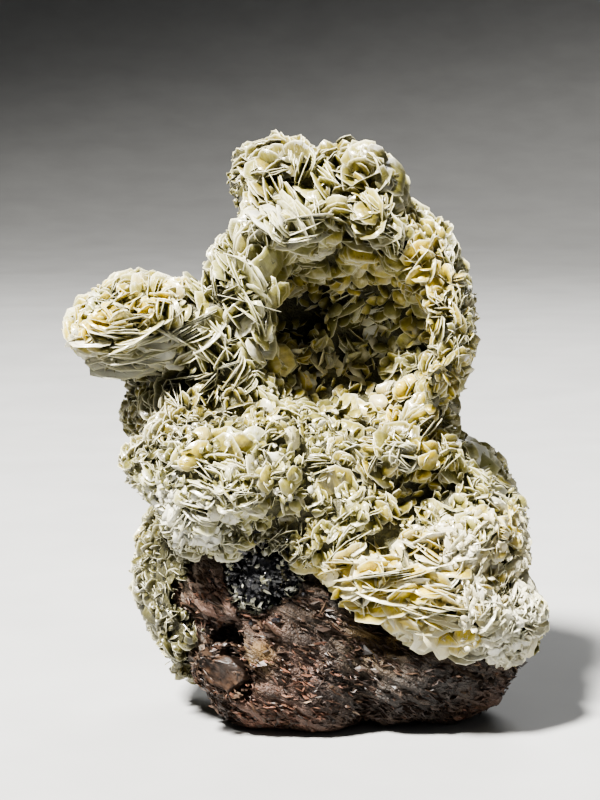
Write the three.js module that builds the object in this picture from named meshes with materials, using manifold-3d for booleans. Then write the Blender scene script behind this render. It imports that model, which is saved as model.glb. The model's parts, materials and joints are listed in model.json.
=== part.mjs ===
// A hand-sized mica specimen: rosettes of thin muscovite crystals, grown together into one cluster
// that arches over an open pocket, on a lump of dark host rock with a patch of black tourmaline and
// a knob of smoky quartz.
//
// Millimetres, +Z up, +X to the right, -Y to the front. The origin is on the flat base, under the
// middle of the specimen.
import * as THREE from "three";
import { mergeVertices } from "three/addons/utils/BufferGeometryUtils.js";
import { ImprovedNoise } from "three/addons/math/ImprovedNoise.js";
import Module from "manifold-3d";

const wasm = await Module();
wasm.setup();

// Driving dimensions.
const SEAM = 0.35; // gap left between two minerals where they meet
const BASE_CUT = 120; // side of the block that trims the base flat
const MICA_CLEARANCE = 1.2; // height of the lowest mica above the base
// Bumps on a surface, as waves: how far apart they are, and how far they stand out or in.
const ROSETTE_WAVES = [
  { spacing: 21, height: 4.2 },
  { spacing: 8, height: 2.6 },
];
const ROCK_WAVES = [
  { spacing: 19, height: 3.2 },
  { spacing: 7, height: 1.8 },
];
const FACET = 4.6; // length of a facet's side
const CRUMB = 0.25; // slivers thinner than this are merged into their neighbours

// Each lobe of the cluster is a bumpy ellipsoid that reaches the tips of its crystals. "at" is its
// centre, "reach" its half-lengths along X, Y and Z, and "lean" its turn about Y in degrees.
const MICA_LOBES = {
  crown_left: { at: [-4.8, 3, 97.4], reach: [10.4, 13.5, 10.5] },
  crown_middle: { at: [8.5, 4, 95.5], reach: [14, 15.5, 11.2] },
  crown_right: { at: [16.5, 5, 85], reach: [12, 17, 13] },
  crown_brow: { at: [-1, -3.5, 91], reach: [13.5, 11, 8.5] },
  crown_brow_right: { at: [13, -3, 92.5], reach: [10, 11.5, 7.5], lean: 25 },
  arch_left: { at: [-8.5, 2, 78], reach: [10.5, 17, 17] },
  arch_right: { at: [22, 4, 69], reach: [10.2, 18, 19] },
  arch_back: { at: [7, 14, 74], reach: [22, 14, 26] },
  pocket_sill: { at: [13, -8, 50.8], reach: [18, 14, 8], lean: 4 },
  left_rosette: { at: [-31, -6, 72.5], reach: [14, 15, 9.5], lean: -9 },
  left_neck: { at: [-15, -2.5, 69.5], reach: [12.5, 14, 12.5] },
  left_shoulder: { at: [-14.5, -2, 58], reach: [19, 17, 11] },
  front_lobe: { at: [-13.5, -15.5, 48.6], reach: [19.5, 15, 12.2], lean: -6 },
  front_knob: { at: [-18, -18, 39.5], reach: [10.5, 10, 7.5] },
  heart: { at: [3, 3, 43], reach: [30, 27, 23] },
  right_lobe: { at: [25, 1, 32], reach: [19, 25, 19.5] },
  right_shoulder: { at: [27.5, 4, 40.5], reach: [12.5, 19, 11.5] },
  front_band: { at: [22.5, -15, 26], reach: [22.5, 14, 9.5], lean: 19 },
  left_flank: { at: [-16.5, 2.5, 25], reach: [13, 20, 22] },
};
// The pocket under the arch, and the deep hole that runs on from it to the upper left.
const POCKET_HOLLOWS = {
  bowl: { at: [8.8, -14, 71], reach: [12.8, 21, 17.4], lean: -8 },
  deep_hole: { at: [1, -1, 75], reach: [7, 12, 6] },
};
const ROCK_LUMPS = {
  rock_body: { at: [-1, -2, 15], reach: [21, 22, 20] },
  rock_right: { at: [20, -2, 12.8], reach: [19, 20, 13.5], lean: 3 },
  rock_left: { at: [-11.5, -4.5, 27], reach: [13.5, 17, 11], lean: 18 },
  rock_foot: { at: [-8.5, -6.5, 6], reach: [10, 12, 9] },
};
const ROCK_POCKET = { at: [-13.5, -19, 17.5], reach: [2.6, 5, 2.2] };
const TOURMALINE = { at: [-7.5, -17, 30.5], reach: [6.2, 5.5, 6.8] };
const QUARTZ = { at: [-13.5, -18.5, 12.3], reach: [5, 4.8, 4] };

const noise = new ImprovedNoise();

// A closed mesh becomes a solid once the corners that its faces share are merged.
function solidOf(geometry) {
  geometry.deleteAttribute("normal");
  geometry.deleteAttribute("uv");
  const merged = mergeVertices(geometry);
  return new wasm.Manifold(
    new wasm.Mesh({
      numProp: 3,
      vertProperties: merged.attributes.position.array,
      triVerts: new Uint32Array(merged.index.array),
    }),
  );
}

// How finely to divide an icosahedron so that its facets have sides of about FACET.
function divisionsFor(reach) {
  const radius = Math.cbrt(reach[0] * reach[1] * reach[2]);
  const facetArea = (Math.sqrt(3) / 4) * FACET ** 2;
  const facets = (4 * Math.PI * radius ** 2) / facetArea;
  return Math.max(2, Math.round(Math.sqrt(facets / 20)) - 1);
}

function bumpAt({ x, y, z }, waves) {
  const waveAt = ({ spacing, height }) =>
    height * noise.noise(x / spacing, y / spacing, z / spacing);
  return waves.reduce((sum, wave) => sum + waveAt(wave), 0);
}

// One bumpy ellipsoid. "grow" moves its whole surface outwards, for the cut that fits round it.
function lump({ at, reach, lean = 0 }, waves, grow = 0) {
  const geometry = new THREE.IcosahedronGeometry(1, divisionsFor(reach));
  const corners = geometry.attributes.position;
  const centre = new THREE.Vector3(...at);
  const turn = new THREE.Quaternion().setFromAxisAngle(
    new THREE.Vector3(0, 1, 0),
    THREE.MathUtils.degToRad(lean),
  );
  const corner = new THREE.Vector3();
  const outward = new THREE.Vector3();
  for (let i = 0; i < corners.count; i++) {
    corner.fromBufferAttribute(corners, i);
    outward.copy(corner).divide(new THREE.Vector3(...reach)).normalize().applyQuaternion(turn);
    corner.multiply(new THREE.Vector3(...reach)).applyQuaternion(turn).add(centre);
    corner.addScaledVector(outward, bumpAt(corner, waves) + grow);
    corners.setXYZ(i, corner.x, corner.y, corner.z);
  }
  return solidOf(geometry);
}

const join = (solids) => solids.reduce((all, next) => all.add(next));

const micaLump = (shape, grow) => lump(shape, ROSETTE_WAVES, grow);
const rockLump = (shape, grow) => lump(shape, ROCK_WAVES, grow);

// Everything below a height, as one block.
function groundBelow(height) {
  const block = new THREE.BoxGeometry(BASE_CUT, BASE_CUT, BASE_CUT);
  block.translate(0, 0, height - BASE_CUT / 2);
  return solidOf(block);
}

function hostRock(grow = 0) {
  return join(Object.values(ROCK_LUMPS).map((shape) => rockLump(shape, grow)));
}

function micaCluster() {
  const lobes = join(Object.values(MICA_LOBES).map((shape) => micaLump(shape, 0)));
  const pocket = join(Object.values(POCKET_HOLLOWS).map((shape) => micaLump(shape, 0)));
  return lobes
    .subtract(pocket)
    .subtract(hostRock(SEAM))
    .subtract(rockLump(TOURMALINE, SEAM))
    .subtract(groundBelow(MICA_CLEARANCE));
}

function buildRock() {
  return hostRock()
    .subtract(rockLump(TOURMALINE, SEAM))
    .subtract(rockLump(QUARTZ, SEAM))
    .subtract(rockLump(ROCK_POCKET, 0))
    .subtract(groundBelow(0));
}

// The largest single body: booleans can leave a loose crumb at a seam.
function mainBody(solid) {
  return solid.decompose().reduce((best, next) => (next.volume() > best.volume() ? next : best));
}

function meshOf(name, solid, material) {
  const { numProp, vertProperties, triVerts } = mainBody(solid).simplify(CRUMB).getMesh();
  const position = new Float32Array((vertProperties.length / numProp) * 3);
  for (let i = 0; i < position.length / 3; i++) {
    position.set(vertProperties.subarray(i * numProp, i * numProp + 3), i * 3);
  }
  const geometry = new THREE.BufferGeometry();
  geometry.setAttribute("position", new THREE.BufferAttribute(position, 3));
  geometry.setIndex(new THREE.BufferAttribute(new Uint32Array(triVerts), 1));
  geometry.computeVertexNormals();
  const mesh = new THREE.Mesh(geometry, material);
  mesh.name = name;
  return mesh;
}

const micaFinish = new THREE.MeshStandardMaterial({
  color: 0xc9c296,
  roughness: 0.35,
  metalness: 0,
});
const rockFinish = new THREE.MeshStandardMaterial({
  color: 0x5f4c40,
  roughness: 0.8,
  metalness: 0,
});
const tourmalineFinish = new THREE.MeshStandardMaterial({
  color: 0x17171a,
  roughness: 0.25,
  metalness: 0,
});
const quartzFinish = new THREE.MeshStandardMaterial({
  color: 0x8a6650,
  roughness: 0.2,
  metalness: 0,
});

const specimen = new THREE.Group();
specimen.add(meshOf("mica_cluster", micaCluster(), micaFinish));
specimen.add(meshOf("host_rock", buildRock(), rockFinish));
specimen.add(meshOf("black_tourmaline", rockLump(TOURMALINE, 0), tourmalineFinish));
specimen.add(meshOf("smoky_quartz", rockLump(QUARTZ, 0), quartzFinish));

// The origin goes under the middle of the specimen, on its base.
const extent = new THREE.Box3().setFromObject(specimen);
const middle = extent.getCenter(new THREE.Vector3());
specimen.position.set(-middle.x, -middle.y, -extent.min.z);

export default specimen;
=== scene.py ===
"""Looks of a mica specimen: rosettes of thin muscovite plates, grown over a lump of dark host rock.

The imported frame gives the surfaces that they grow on. Plates, flakes and splinters are thin closed
solids, made by the thousand as arrays and joined into one mesh for each part of the cluster. Lengths
are in metres, and MM turns millimetres into them.
"""

import json
import math
from dataclasses import dataclass, replace

import bpy
import numpy as np
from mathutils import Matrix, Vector
from mathutils.bvhtree import BVHTree


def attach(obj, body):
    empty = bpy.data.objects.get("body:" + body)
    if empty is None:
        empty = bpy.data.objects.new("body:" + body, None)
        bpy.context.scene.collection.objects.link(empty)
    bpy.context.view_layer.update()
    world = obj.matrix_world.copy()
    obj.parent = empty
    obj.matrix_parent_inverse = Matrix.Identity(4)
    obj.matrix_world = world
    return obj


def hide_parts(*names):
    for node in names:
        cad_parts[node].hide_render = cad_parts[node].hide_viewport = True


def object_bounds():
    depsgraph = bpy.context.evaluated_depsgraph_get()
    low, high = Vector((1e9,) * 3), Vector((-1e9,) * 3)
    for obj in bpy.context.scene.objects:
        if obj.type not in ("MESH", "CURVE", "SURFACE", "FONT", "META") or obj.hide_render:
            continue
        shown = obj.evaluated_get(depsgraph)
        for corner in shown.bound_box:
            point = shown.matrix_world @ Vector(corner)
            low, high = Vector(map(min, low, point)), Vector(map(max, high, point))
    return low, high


MM = 0.001
SEED = 20
GOLDEN_TURN = math.pi * (3 - math.sqrt(5))
BOX_MARGIN = 0.02 * MM  # how far plates and prisms stay inside the CAD model's box
SKIN_VOXEL = 1.2 * MM  # face size of the surfaces that crystals and splinters are strewn on
SMALL_SKIN_VOXEL = 0.8 * MM  # the same for the tourmaline patch
KNOB_VOXEL = 0.5 * MM  # the same for the quartz knob

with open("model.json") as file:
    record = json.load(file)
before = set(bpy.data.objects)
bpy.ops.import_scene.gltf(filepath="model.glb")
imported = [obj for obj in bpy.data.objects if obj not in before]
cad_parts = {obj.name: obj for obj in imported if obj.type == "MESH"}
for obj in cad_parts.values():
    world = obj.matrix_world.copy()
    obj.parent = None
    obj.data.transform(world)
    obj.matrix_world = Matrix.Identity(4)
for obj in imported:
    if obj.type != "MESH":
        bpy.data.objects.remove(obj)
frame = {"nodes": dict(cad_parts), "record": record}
cad_low, cad_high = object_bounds()
SIZE = cad_high - cad_low


# ---- small helpers


def unit(v):
    """Rows of v at length 1."""
    return v / np.maximum(np.linalg.norm(v, axis=-1, keepdims=True), 1e-12)


def across(n, hint):
    """The direction nearest to hint that lies flat on a surface of normal n."""
    flat = hint - n * (hint @ n)
    if np.linalg.norm(flat) < 0.05:
        flat = np.cross(n, [0.31, 0.83, 0.47])
    return unit(flat)


def link(o):
    bpy.context.scene.collection.objects.link(o)
    return o


def triangles_object(name, points, faces, material, smooth):
    """A mesh object from arrays: points (n, 3), triangles (m, 3) and a flag for each smooth triangle."""
    mesh = bpy.data.meshes.new(name)
    mesh.vertices.add(len(points))
    mesh.vertices.foreach_set("co", points.astype(np.float32).ravel())
    mesh.loops.add(faces.size)
    mesh.loops.foreach_set("vertex_index", faces.astype(np.int32).ravel())
    mesh.polygons.add(len(faces))
    mesh.polygons.foreach_set("loop_start", np.arange(0, faces.size, 3, dtype=np.int32))
    mesh.polygons.foreach_set("use_smooth", smooth)
    mesh.update(calc_edges=True)
    mesh.materials.append(material)
    return link(bpy.data.objects.new(name, mesh))


def point_values(mesh, name, values):
    """Stores one number, or one vector, for each point."""
    kind, field = ("FLOAT", "value") if values.ndim == 1 else ("FLOAT_VECTOR", "vector")
    attribute = mesh.attributes.new(name, kind, "POINT")
    attribute.data.foreach_set(field, values.astype(np.float32).ravel())


def arrays_of(mesh):
    """A mesh's points, its point normals and its triangles."""
    count = len(mesh.vertices)
    points = np.empty(count * 3, np.float32)
    mesh.vertices.foreach_get("co", points)
    normals = np.empty(count * 3, np.float32)
    mesh.vertex_normals.foreach_get("vector", normals)
    mesh.calc_loop_triangles()
    faces = np.empty(len(mesh.loop_triangles) * 3, np.int32)
    mesh.loop_triangles.foreach_get("vertices", faces)
    return points.reshape(-1, 3).astype(float), normals.reshape(-1, 3).astype(float), faces.reshape(-1, 3)


def moved_points(mesh, points):
    mesh.vertices.foreach_set("co", points.astype(np.float32).ravel())
    mesh.update()


def shaped(o, points, material):
    """Gives a remeshed object its final points, smooth faces and its material."""
    moved_points(o.data, points)
    o.data.polygons.foreach_set("use_smooth", np.ones(len(o.data.polygons), bool))
    o.data.materials.append(material)


def remeshed(name, source, voxel, smoothing):
    """A new object with source's shape in even small faces, with its creases softened."""
    o = link(bpy.data.objects.new(name, source.copy()))
    o.data.materials.clear()
    remesh = o.modifiers.new("remesh", "REMESH")
    remesh.mode = "VOXEL"
    remesh.voxel_size = voxel
    if smoothing:
        smooth = o.modifiers.new("smooth", "SMOOTH")
        smooth.factor = 0.5
        smooth.iterations = smoothing
    baked = bpy.data.meshes.new_from_object(o.evaluated_get(bpy.context.evaluated_depsgraph_get()))
    o.modifiers.clear()
    o.data = baked
    baked.name = name
    return o


def node_copy(name, node, voxel, smoothing):
    """A remeshed copy of a CAD node, with its points and their normals."""
    o = remeshed(name, frame["nodes"][node].data, voxel, smoothing)
    points, normals, _ = arrays_of(o.data)
    return o, points, normals


class Waves:
    """Smooth random bumps from a few sines, from -1 to 1, the same on every run."""

    def __init__(self, seed, spacing, count=7):
        rng = np.random.default_rng(seed)
        ways = unit(rng.normal(size=(count, 3))) * rng.uniform(0.6, 1.6, (count, 1))
        self.ways = ways * 2 * math.pi / spacing
        self.starts = rng.uniform(0, 2 * math.pi, count)

    def __call__(self, points):
        return np.sin(points @ self.ways.T + self.starts).mean(axis=-1) * 1.6


class Skin:
    """A CAD node's outer surface, to scatter crystals on and to measure how far they may reach."""

    def __init__(self, node, voxel, smoothing=4):
        o = remeshed("skin", frame["nodes"][node].data, voxel, smoothing)
        self.points, self.normals, self.faces = arrays_of(o.data)
        bpy.data.objects.remove(o)
        self.tree = BVHTree.FromPolygons(self.points.tolist(), self.faces.tolist())
        corners = self.points[self.faces]
        cross = np.cross(corners[:, 1] - corners[:, 0], corners[:, 2] - corners[:, 0])
        self.areas = np.linalg.norm(cross, axis=1) / 2

    def scatter(self, rng, count):
        """Random places on the surface, even by area, with their normals."""
        picked = rng.choice(len(self.faces), count, p=self.areas / self.areas.sum())
        a, b = rng.random((2, count, 1))
        over = (a + b) > 1
        a, b = np.where(over, 1 - a, a), np.where(over, 1 - b, b)
        corners, bends = self.points[self.faces[picked]], self.normals[self.faces[picked]]
        weights = (1 - a - b, a, b)
        place = sum(w * corners[:, i] for i, w in enumerate(weights))
        normal = sum(w * bends[:, i] for i, w in enumerate(weights))
        return place, unit(normal)

    def spaced(self, rng, spacing_at, tries, first=()):
        """Places at least spacing_at(place) from each other and from the first ones."""
        places, normals = self.scatter(rng, tries)
        gaps = spacing_at(places)
        taken = np.empty((tries + len(first), 3))
        taken[: len(first)] = np.array(first).reshape(-1, 3)
        count = len(first)
        kept = []
        for i in range(tries):
            if count and ((taken[:count] - places[i]) ** 2).sum(axis=1).min() < gaps[i] ** 2:
                continue
            taken[count] = places[i]
            count += 1
            kept.append(i)
        return places[kept], normals[kept]

    def reach(self, start, way, most):
        """How far it is from a start inside, along way, to the surface: at most most, or None outside."""
        way = Vector(way)
        place, normal, _, distance = self.tree.ray_cast(Vector(start), way)
        if place is None or normal.dot(way) < 0:
            return None
        return min(distance, most)

    def holds(self, place, way):
        """Whether a place is inside, judged by looking along way."""
        return self.reach(place, way, 1.0) is not None

    def nearest(self, place):
        """The surface's nearest place, and its normal there."""
        hit = self.tree.find_nearest(Vector(place))
        return np.array(hit[0]), np.array(hit[1])

    def front(self, spot):
        """The place and normal of the surface that shows from the front at a spot.

        A spot is a share of the whole specimen's box: -1 to 1 from its left side to its right one, and
        0 to 1 from its foot to its top.
        """
        x, z = spot[0] * SIZE.x / 2, cad_low.z + spot[1] * SIZE.z
        hit = self.tree.ray_cast(Vector((x, cad_low.y - 0.05, z)), Vector((0, 1, 0)))
        if hit[0] is None:
            return self.nearest((x, 0, z))
        return np.array(hit[0]), np.array(hit[1])


# ---- where the crystals differ


@dataclass
class Zone:
    """How the crystals look round one spot of the front."""

    spot: tuple
    radius: float  # mm
    size: float  # a plate's width, in mm
    tone: float  # 0 is dark olive, 1 is silvery cream, and it can go past both; where it is set low under the left rosette and beside the knob it is painted shade
    stain: float = 0.08  # how much rusty yellow
    facing: tuple = None  # the way that most plates face, where they have one
    kinds: tuple = (0.5, 0.25, 0.25)  # shares of roses, fans and shells, which add up to 1
    fan: float = 55  # how far a fan's plates lean to each side, in degrees
    grain: float = 0.0  # how much of it is fine flakes


ROSES, FANS, SHELLS = (0.75, 0.1, 0.15), (0.1, 0.8, 0.1), (0.15, 0.15, 0.7)

ZONES = [
    Zone((-0.19, 0.945), 9, 7.0, -0.35, 0.2, (-0.2, -0.6, 0.8), (0.4, 0.05, 0.55)),
    Zone((0.19, 0.94), 9, 8.0, 0.2, 0.2, (0.3, -0.6, 0.7), (0.45, 0.1, 0.45)),
    Zone((-0.07, 0.87), 8, 7.4, 0.65, 0.1, (0.35, -0.3, 0.9), FANS, 40),
    Zone((0.28, 0.87), 7, 7.4, 0.45, 0.25, (-0.25, -0.4, 0.9), (0.4, 0.4, 0.2), 40),
    Zone((-0.3, 0.88), 5, 4.2, 0.5, 0.02, None, (0.3, 0.2, 0.5), 50, 0.6),
    Zone((-0.28, 0.78), 8, 7.0, 0.6, 0.03, (0.62, -0.45, 0.65), (0.2, 0.45, 0.35), 32, 0.1),
    Zone((-0.15, 0.79), 5, 7.6, 0.35, 0.04, (0.35, -0.9, 0.1), SHELLS),
    Zone((0.55, 0.78), 8, 6.0, 0.3, 0.9, None, ROSES),
    Zone((0.67, 0.69), 5.5, 3.4, 0.4, 0.04, None, (0.4, 0.2, 0.4), 60, 0.8),
    Zone((0.51, 0.63), 8, 6.2, 0.25, 0.95, None, ROSES),
    Zone((0.39, 0.49), 8, 6.6, -0.25, 0.6, None, ROSES),
    Zone((0.05, 0.49), 6, 4.0, 0.6, 0.1, None, (0.4, 0.3, 0.3), 55, 0.9),
    Zone((0.22, 0.66), 12, 5.4, 0.9, 0.55, (-0.5, -0.8, 0.3), (0.45, 0.15, 0.4)),
    Zone((-0.86, 0.71), 6, 4.8, 0.85, 1.3, None, (0.5, 0.1, 0.4), 55, 0.1),
    Zone((-0.7, 0.72), 5, 4.8, 0.85, 1.1, None, (0.5, 0.1, 0.4), 55, 0.1),
    Zone((-0.62, 0.635), 7, 9.0, 1.15, 0.2, (-0.3, -0.1, 0.95), FANS, 19),
    Zone((-0.86, 0.63), 5, 7.0, 1.15, 0.2, (0.1, -0.1, 0.97), FANS, 19, 0.2),
    Zone((-0.55, 0.73), 5, 5.0, 0.75, 0.4, None, (0.4, 0.2, 0.4), 55, 0.3),
    Zone((-0.3, 0.65), 8, 6.4, 0.9, 0.12, (0.5, -0.6, 0.6), (0.4, 0.1, 0.5), 38),
    # painted shadow cast by the left rosette on the shoulder below it
    Zone((-0.58, 0.545), 9, 4.6, -1.3, 0.2, None, (0.5, 0.3, 0.2), 50, 0.3),
    # painted shade between the left rosette and the front lobe
    Zone((-0.42, 0.555), 5, 4.6, -1.0, 0.2, None, (0.5, 0.3, 0.2), 50, 0.2),
    # painted shade on the underside of the left rosette
    Zone((-0.74, 0.585), 4, 5.0, 0.0, 0.2, None, (0.5, 0.3, 0.2), 50, 0.3),
    Zone((-0.26, 0.51), 7, 5.8, 0.75, 0.3, (0.25, -1, 0.0), (0.35, 0.15, 0.5), 50, 0.5),
    Zone((-0.58, 0.425), 9, 3.4, 1.25, 0.08, (0.4, -0.5, 0.7), (0.3, 0.3, 0.4), 55, 0.95),
    Zone((-0.03, 0.43), 8, 5.2, 0.95, 0.2, None, (0.4, 0.15, 0.45), 55, 0.35),
    Zone((-0.4, 0.36), 7, 4.2, 1.25, 0.04, (0.1, -0.5, 0.85), (0.2, 0.5, 0.3), 45, 0.95),
    Zone((0.18, 0.4), 8, 5.2, 0.6, 0.2, None, ROSES, 55, 0.4),
    Zone((0.7, 0.43), 8, 6.0, 0.45, 0.25, None, ROSES, 50, 0.15),
    Zone((0.76, 0.305), 10, 4.4, 1.6, 0.6, None, ROSES, 55, 0.8),
    Zone((0.5, 0.24), 9, 7.4, 1.5, 1.0, (0.2, -0.35, 0.9), (0.2, 0.65, 0.15), 50, 0.1),
    Zone((0.25, 0.25), 8, 8.0, 1.5, 1.1, (-0.4, -0.4, 0.8), (0.15, 0.6, 0.25), 45),
    Zone((0.72, 0.2), 7, 4.4, 1.5, 0.15, None, (0.4, 0.4, 0.2), 50, 0.9),
    Zone((0.86, 0.18), 6, 3.4, 1.5, 0.05, None, (0.4, 0.3, 0.3), 60, 0.95),
    # painted shade in the notch between the knob and the middle
    Zone((-0.12, 0.335), 4, 3.4, -0.4, 0.0, None, ROSES, 55, 0.9),
    Zone((-0.6, 0.22), 10, 5.4, -0.5, 0.0, (-0.2, -1, 0.2), SHELLS, 50, 0.3),
]
ELSEWHERE = Zone(None, 0, 6.0, 0.55, 0.2, None, (0.55, 0.25, 0.2), 52, 0.15)
ELSEWHERE_WEIGHT = 0.08  # beside 1 at the middle of a zone

# The crystals that stand out: spot, kind, plate width in mm, the way they face, tone and stain.
HEROES = [
    ((-0.2, 0.945), "rose", 8.4, None, 0.1, 0.2),
    ((0.01, 0.955), "fan", 5.6, (1, -0.2, 0.1), 0.65, 0.15),
    ((0.2, 0.945), "rose", 9.6, None, 0.4, 0.2),
    ((0.04, 0.915), "fan", 7.0, (0.2, -0.5, 0.85), 0.6, 0.15),
    ((-0.1, 0.875), "fan", 8.0, (0.4, -0.25, 0.9), 0.9, 0.05),
    ((0.08, 0.875), "rose", 6.8, None, 0.8, 0.1),
    ((0.31, 0.865), "shell", 8.4, (-0.35, -0.5, 0.8), 0.5, 0.3),
    ((0.0, 0.835), "fan", 8.6, (0.15, -0.25, 0.95), 0.85, 0.05),
    ((-0.29, 0.785), "fan", 7.8, (0.65, -0.35, 0.7), 0.65, 0.0),
    ((-0.15, 0.785), "shell", 8.2, (0.4, -0.9, 0.0), 0.35, 0.02),
    ((-0.17, 0.715), "fan", 9.6, (0.75, -0.2, 0.6), 0.75, 0.0),
    ((-0.11, 0.645), "shell", 7.6, (0.3, -0.95, 0.0), 0.45, 0.0),
    ((-0.38, 0.64), "fan", 7.2, (0.6, -0.5, 0.6), 0.7, 0.1),
    ((-0.28, 0.605), "fan", 6.6, (-0.6, -0.5, 0.6), 0.7, 0.15),
    ((-0.88, 0.73), "rose", 5.8, None, 0.7, 1.2),
    ((-0.8, 0.705), "rose", 5.4, None, 0.7, 1.3),
    ((-0.64, 0.755), "fan", 5.6, (0.9, -0.4, 0.1), 0.75, 0.5),
    ((-0.6, 0.665), "sheaf", 11.5, (-0.35, -0.1, 0.95), 0.85, 0.25),
    ((-0.78, 0.64), "sheaf", 9.5, (-0.1, -0.1, 1.0), 1.0, 0.15),
    ((-0.62, 0.615), "sheaf", 11.0, (0.08, -0.1, 1.0), 1.15, 0.0),
    ((-0.46, 0.655), "sheaf", 8.0, (-0.5, -0.1, 0.85), 0.8, 0.15),
    ((-0.72, 0.745), "rose", 5.4, None, 0.7, 1.2),
    ((-0.9, 0.67), "rose", 5.0, None, 0.75, 1.3),
    ((-0.55, 0.635), "fan", 8.0, (0.5, -0.7, 0.5), 1.2, 0.0),
    ((-0.33, 0.53), "shell", 6.8, (0.3, -1, -0.1), 0.5, 0.45),
    ((-0.2, 0.52), "shell", 5.8, (0.35, -1, -0.1), 0.85, 0.0),
    ((-0.44, 0.505), "shell", 6.2, (0.2, -1, -0.05), 0.55, 0.5),
    ((0.1, 0.44), "shell", 8.4, (0.35, -1, 0.1), 0.35, 0.3),
    ((0.4, 0.51), "rose", 7.4, None, 0.2, 0.5),
    ((0.29, 0.455), "rose", 7.4, None, 0.2, 0.6),
    ((0.78, 0.44), "shell", 7.4, (0.4, -0.8, 0.5), 1.15, 0.0),
    ((0.6, 0.44), "rose", 6.8, None, 0.6, 0.25),
    ((0.66, 0.36), "rose", 6.4, None, 0.55, 0.35),
    ((0.3, 0.25), "fan", 9.4, (-0.3, -0.5, 0.8), 1.3, 1.1),
    ((0.5, 0.25), "fan", 9.0, (0.4, -0.3, 0.85), 1.3, 1.2),
    ((0.4, 0.235), "rose", 8.0, None, 1.3, 1.0),
    ((0.5, 0.655), "rose", 6.4, None, 0.75, 1.4),
    ((0.49, 0.775), "rose", 6.4, None, 0.7, 1.2),
    ((0.5, 0.595), "rose", 6.0, None, 0.7, 1.2),
    ((0.67, 0.575), "rose", 5.2, None, 0.5, 0.3),
    ((-0.6, 0.245), "shell", 7.4, (-0.1, -1, 0.2), 0.3, 0.0),
    ((-0.54, 0.17), "shell", 6.8, (0.1, -1, 0.1), 0.2, 0.0),
    ((-0.62, 0.18), "shell", 6.0, (-0.3, -1, 0.1), 0.2, 0.0),
    ((-0.57, 0.29), "shell", 6.0, (-0.2, -1, 0.3), 0.5, 0.0),
]


class Looks:
    """Blends the zones over the surface."""

    def __init__(self, skin):
        self.zones = [*ZONES, ELSEWHERE]
        self.centres = np.array([skin.front(z.spot)[0] for z in ZONES])
        self.radii = np.array([z.radius * MM for z in ZONES])

    def weights(self, places):
        gaps = np.linalg.norm(places[:, None] - self.centres[None], axis=2)
        near = np.exp(-((gaps / self.radii) ** 2))
        both = np.hstack([near, np.full((len(places), 1), ELSEWHERE_WEIGHT)])
        return both / both.sum(axis=1, keepdims=True)

    def blend(self, field, weights):
        return weights @ np.array([getattr(z, field) for z in self.zones])


# ---- plates as arrays


class Plate:
    """The shape of one thin plate, a unit wide, with an outline between a circle and a hexagon.

    Its points lie closest together on the side that faces out, and it is cupped towards its face.
    """

    def __init__(self, rng, sides, rings, cup=0.03, curl=0.07, blunt=False):
        even = np.arange(sides) / sides * 2 * math.pi - math.pi
        turn = math.pi / 2 + even - 0.4 * np.sin(even) + rng.normal(0, 0.05, sides)
        sector = (turn + rng.uniform(0, 1)) % (math.pi / 3) - math.pi / 6
        worn = (math.cos(math.pi / 6) / np.cos(sector)) ** rng.uniform(0.3, 1.0)
        if blunt:
            power = rng.uniform(2.8, 4.5)
            tilted = turn + rng.normal(0, 0.12)
            worn = (np.abs(np.cos(tilted)) ** power + np.abs(np.sin(tilted)) ** power) ** (-1 / power)
        lobes = 1 + 0.1 * np.sin(2 * turn + rng.uniform(0, 6)) + 0.07 * np.sin(3 * turn + rng.uniform(0, 6))
        radius = 0.52 * worn * lobes * (1 + rng.normal(0, 0.06, sides))
        flat, share = [np.zeros((1, 2))], [np.zeros(1)]
        for step in np.linspace(0, 1, rings + 1)[1:]:
            flat.append(np.stack([np.cos(turn), np.sin(turn)], 1) * (radius * step)[:, None])
            share.append(np.full(sides, step))
        self.flat = np.vstack(flat * 2)
        self.rim = np.concatenate(share * 2)
        one_side = len(self.flat) // 2
        self.side = np.repeat([1.0, -1.0], one_side) * np.where(self.rim > 0.99, 0.75, 1.0)
        x, y = self.flat.T
        bend = rng.normal(cup, curl, 2)
        twist = rng.normal(0, curl)
        frill = np.sin(rng.integers(3, 6) * np.arctan2(y, x) + rng.uniform(0, 6))
        frill = 0.14 * curl * frill * self.rim**2
        self.height = bend[0] * x**2 + bend[1] * (y + 0.2) ** 2 + twist * x * y + frill
        self.faces, self.smooth = self.triangles(sides, rings, one_side)

    @staticmethod
    def triangles(sides, rings, one_side):
        step = [(i, (i + 1) % sides) for i in range(sides)]
        top = [(0, 1 + i, 1 + k) for i, k in step]
        for r in range(1, rings):
            a, b = 1 + (r - 1) * sides, 1 + r * sides
            top += [(a + i, b + i, b + k) for i, k in step]
            top += [(a + i, b + k, a + k) for i, k in step]
        bottom = [(one_side + a, one_side + c, one_side + b) for a, b, c in top]
        a, b = one_side - sides, 2 * one_side - sides
        walls = [(a + i, b + i, b + k) for i, k in step] + [(a + i, b + k, a + k) for i, k in step]
        smooth = [True] * (len(top) + len(bottom)) + [False] * len(walls)
        return np.array(top + bottom + walls), np.array(smooth)


class Sliver:
    """The shape of one sharp splinter: four points round its rim, and a low peak on each side."""

    def __init__(self, rng):
        out = rng.uniform(0.35, 0.5, 4)
        skew = rng.uniform(-0.2, 0.2, 3)
        rim = [(out[0], skew[0]), (skew[1], 0.5), (-out[1], skew[2]), (-skew[1], -0.5)]
        self.flat = np.array([*rim, (0, 0), (0, 0)])
        self.rim = np.array([1.0, 1, 1, 1, 0, 0])
        self.side = np.array([0, 0, 0, 0, 1.0, -1.0])
        self.height = np.zeros(6)
        above = [(4, i, (i + 1) % 4) for i in range(4)]
        below = [(5, (i + 1) % 4, i) for i in range(4)]
        self.faces = np.array(above + below)
        self.smooth = np.zeros(8, bool)


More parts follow.
